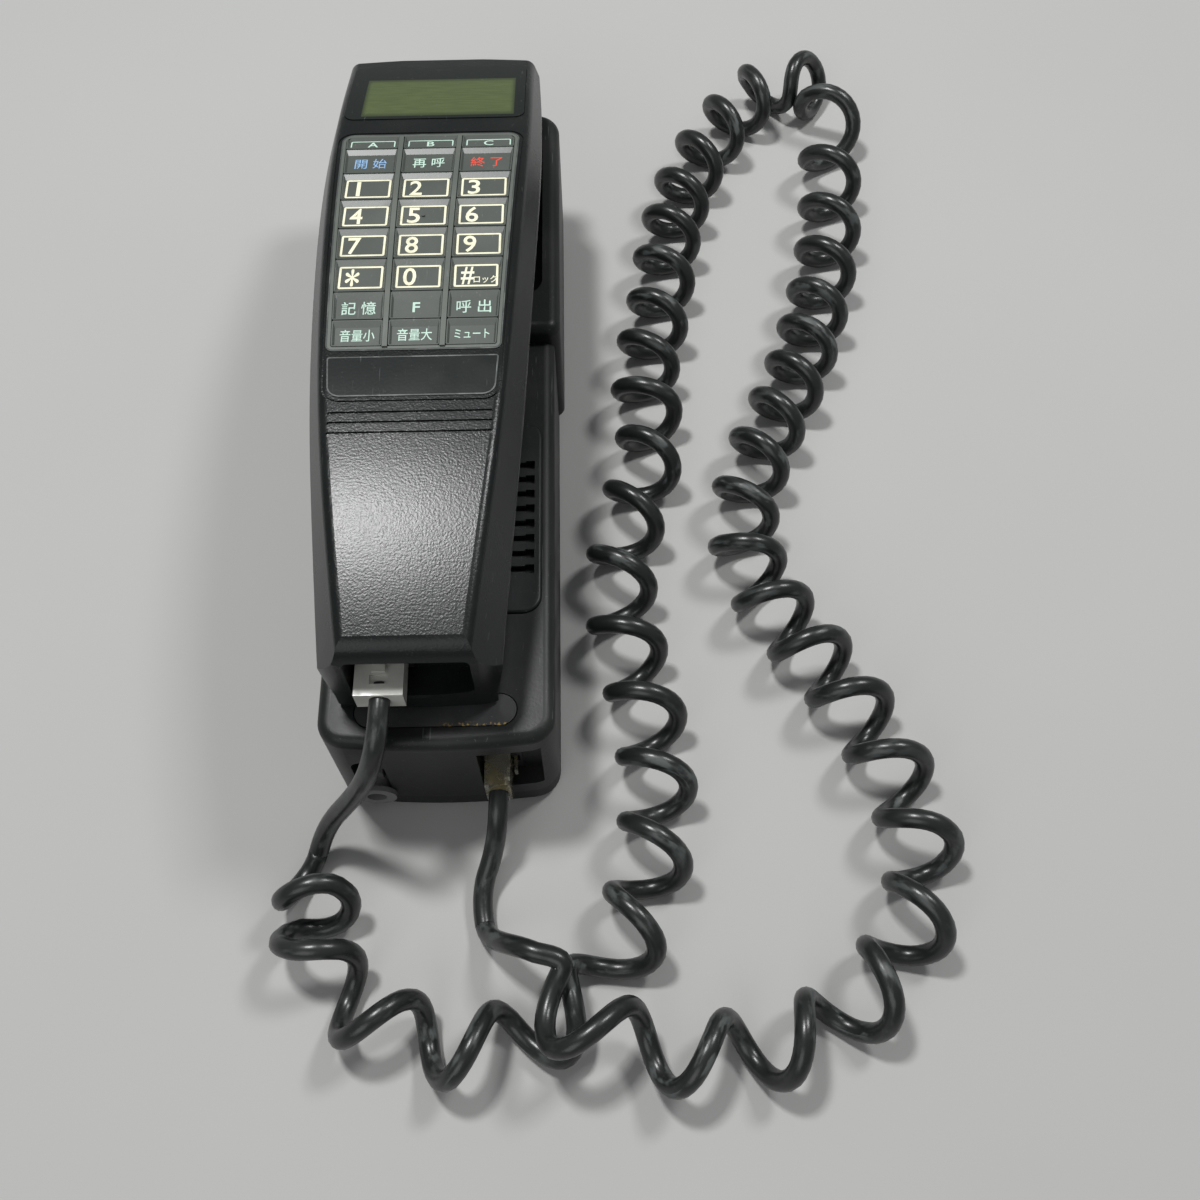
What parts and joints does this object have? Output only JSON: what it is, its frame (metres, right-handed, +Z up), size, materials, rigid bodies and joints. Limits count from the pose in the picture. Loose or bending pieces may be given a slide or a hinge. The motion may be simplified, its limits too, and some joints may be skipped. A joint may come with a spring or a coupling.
{
  "type": "car telephone handset with cradle",
  "caption": "Black car telephone handset with rubber keypad and small display, lying face up in its cradle, joined to it by a long stretched curly cord.",
  "frame": {"origin": "middle of the footprint of the cradle and handset, on the surface the feet stand on", "axes": "+Z up, +Y along the handset from its cord end to its display, +X to the right as seen with the display far away"},
  "size_m": [0.1798, 0.35, 0.0839],
  "materials": {
    "shell_black": "satin moulded black plastic, fine texture",
    "base_black": "matt moulded black plastic",
    "grille_black": "satin moulded black plastic",
    "cover_plate": "matt black plastic with a film of old glue",
    "speaker_steel": "plated steel",
    "circuit_board": "green solder resist",
    "jack_black": "black moulding",
    "screw_steel": "zinc plated",
    "foot_rubber": "matt black rubber",
    "insert_brass": "knurled brass",
    "gland_grey": "grey soft plastic",
    "plunger_black": "polished black moulding",
    "switch_black": "black moulding",
    "window_gloss": "glossy smoked window",
    "lcd_green": "olive green reflective display",
    "mat_rubber": "grey-green rubber",
    "key_rubber": "grey-green rubber, satin",
    "badge_black": "blank satin plate",
    "contact_sheet": "printed film",
    "capsule_black": "black capsule",
    "plug_clear": "clear moulded plastic, slightly yellowed",
    "contact_gold": "gold plated",
    "cord_rubber": "black rubber, scuffed grey"
  },
  "bodies": {
    "cradle": {"cradle_shell": "shell_black", "cradle_base_plate": "base_black", "grille_panel": "grille_black", "deck_cover_plate": "cover_plate", "cradle_speaker": "speaker_steel", "cradle_circuit_board": "circuit_board", "cradle_jack": "jack_black", "cradle_screws": "screw_steel", "rubber_feet": "foot_rubber", "mounting_inserts": "insert_brass", "cable_gland": "gland_grey", "hook_switch": "switch_black", "cradle_plug": "plug_clear", "cradle_plug_contacts": "contact_gold", "cord_handset_lead": "cord_rubber", "cord_curls": "cord_rubber", "cord_cradle_lead": "cord_rubber"},
    "hook": {"hook_plunger": "plunger_black"},
    "handset": {"handset_top_shell": "shell_black", "handset_bottom_shell": "shell_black", "display_window": "window_gloss", "lcd_module": "lcd_green", "keypad_mat": "mat_rubber", "badge_plate": "badge_black", "key_contact_sheet": "contact_sheet", "handset_circuit_board": "circuit_board", "earpiece_receiver": "capsule_black", "microphone": "capsule_black", "handset_screws": "screw_steel", "handset_jack": "jack_black", "handset_plug": "plug_clear", "handset_plug_contacts": "contact_gold"},
    "key_volume_down": {"key_volume_down": "key_rubber"},
    "key_volume_up": {"key_volume_up": "key_rubber"},
    "key_mute": {"key_mute": "key_rubber"},
    "key_store": {"key_store": "key_rubber"},
    "key_function": {"key_function": "key_rubber"},
    "key_recall": {"key_recall": "key_rubber"},
    "key_star": {"key_star": "key_rubber"},
    "key_0": {"key_0": "key_rubber"},
    "key_hash": {"key_hash": "key_rubber"},
    "key_7": {"key_7": "key_rubber"},
    "key_8": {"key_8": "key_rubber"},
    "key_9": {"key_9": "key_rubber"},
    "key_4": {"key_4": "key_rubber"},
    "key_5": {"key_5": "key_rubber"},
    "key_6": {"key_6": "key_rubber"},
    "key_1": {"key_1": "key_rubber"},
    "key_2": {"key_2": "key_rubber"},
    "key_3": {"key_3": "key_rubber"},
    "key_send": {"key_send": "key_rubber"},
    "key_redial": {"key_redial": "key_rubber"},
    "key_end": {"key_end": "key_rubber"},
    "key_a": {"key_a": "key_rubber"},
    "key_b": {"key_b": "key_rubber"},
    "key_c": {"key_c": "key_rubber"}
  },
  "joints": [
    {"name": "handset_lift", "type": "slide", "parent": "cradle", "child": "handset", "axis": [0, 0, 1], "range_m": [0, 0.06], "deforming": ["cord_handset_lead"]},
    {"name": "hook_travel", "type": "slide", "parent": "cradle", "child": "hook", "axis": [0, 0, 1], "range_m": [0, 0.003]},
    {"name": "key_volume_down_press", "type": "slide", "parent": "handset", "child": "key_volume_down", "axis": [0, -0.0112, -0.9999], "range_m": [0, 0.0008], "stiffness_N_per_m": 300},
    {"name": "key_volume_up_press", "type": "slide", "parent": "handset", "child": "key_volume_up", "axis": [0, -0.0112, -0.9999], "range_m": [0, 0.0008], "stiffness_N_per_m": 300},
    {"name": "key_mute_press", "type": "slide", "parent": "handset", "child": "key_mute", "axis": [0, -0.0112, -0.9999], "range_m": [0, 0.0008], "stiffness_N_per_m": 300},
    {"name": "key_store_press", "type": "slide", "parent": "handset", "child": "key_store", "axis": [0, -0.0363, -0.9993], "range_m": [0, 0.0008], "stiffness_N_per_m": 300},
    {"name": "key_function_press", "type": "slide", "parent": "handset", "child": "key_function", "axis": [0, -0.0363, -0.9993], "range_m": [0, 0.0008], "stiffness_N_per_m": 300},
    {"name": "key_recall_press", "type": "slide", "parent": "handset", "child": "key_recall", "axis": [0, -0.0363, -0.9993], "range_m": [0, 0.0008], "stiffness_N_per_m": 300},
    {"name": "key_star_press", "type": "slide", "parent": "handset", "child": "key_star", "axis": [0, -0.0646, -0.9979], "range_m": [0, 0.0008], "stiffness_N_per_m": 300},
    {"name": "key_0_press", "type": "slide", "parent": "handset", "child": "key_0", "axis": [0, -0.0646, -0.9979], "range_m": [0, 0.0008], "stiffness_N_per_m": 300},
    {"name": "key_hash_press", "type": "slide", "parent": "handset", "child": "key_hash", "axis": [0, -0.0646, -0.9979], "range_m": [0, 0.0008], "stiffness_N_per_m": 300},
    {"name": "key_7_press", "type": "slide", "parent": "handset", "child": "key_7", "axis": [0, -0.0958, -0.9954], "range_m": [0, 0.0008], "stiffness_N_per_m": 300},
    {"name": "key_8_press", "type": "slide", "parent": "handset", "child": "key_8", "axis": [0, -0.0958, -0.9954], "range_m": [0, 0.0008], "stiffness_N_per_m": 300},
    {"name": "key_9_press", "type": "slide", "parent": "handset", "child": "key_9", "axis": [0, -0.0958, -0.9954], "range_m": [0, 0.0008], "stiffness_N_per_m": 300},
    {"name": "key_4_press", "type": "slide", "parent": "handset", "child": "key_4", "axis": [0, -0.127, -0.9919], "range_m": [0, 0.0008], "stiffness_N_per_m": 300},
    {"name": "key_5_press", "type": "slide", "parent": "handset", "child": "key_5", "axis": [0, -0.127, -0.9919], "range_m": [0, 0.0008], "stiffness_N_per_m": 300},
    {"name": "key_6_press", "type": "slide", "parent": "handset", "child": "key_6", "axis": [0, -0.127, -0.9919], "range_m": [0, 0.0008], "stiffness_N_per_m": 300},
    {"name": "key_1_press", "type": "slide", "parent": "handset", "child": "key_1", "axis": [0, -0.158, -0.9874], "range_m": [0, 0.0008], "stiffness_N_per_m": 300},
    {"name": "key_2_press", "type": "slide", "parent": "handset", "child": "key_2", "axis": [0, -0.158, -0.9874], "range_m": [0, 0.0008], "stiffness_N_per_m": 300},
    {"name": "key_3_press", "type": "slide", "parent": "handset", "child": "key_3", "axis": [0, -0.158, -0.9874], "range_m": [0, 0.0008], "stiffness_N_per_m": 300},
    {"name": "key_send_press", "type": "slide", "parent": "handset", "child": "key_send", "axis": [0, -0.1889, -0.982], "range_m": [0, 0.0008], "stiffness_N_per_m": 300},
    {"name": "key_redial_press", "type": "slide", "parent": "handset", "child": "key_redial", "axis": [0, -0.1889, -0.982], "range_m": [0, 0.0008], "stiffness_N_per_m": 300},
    {"name": "key_end_press", "type": "slide", "parent": "handset", "child": "key_end", "axis": [0, -0.1889, -0.982], "range_m": [0, 0.0008], "stiffness_N_per_m": 300},
    {"name": "key_a_press", "type": "slide", "parent": "handset", "child": "key_a", "axis": [0, -0.2136, -0.9769], "range_m": [0, 0.0008], "stiffness_N_per_m": 300},
    {"name": "key_b_press", "type": "slide", "parent": "handset", "child": "key_b", "axis": [0, -0.2136, -0.9769], "range_m": [0, 0.0008], "stiffness_N_per_m": 300},
    {"name": "key_c_press", "type": "slide", "parent": "handset", "child": "key_c", "axis": [0, -0.2136, -0.9769], "range_m": [0, 0.0008], "stiffness_N_per_m": 300}
  ],
  "couplings": [
    {"joint": "hook_travel", "follows": "handset_lift", "ratio": 0.05}
  ]
}
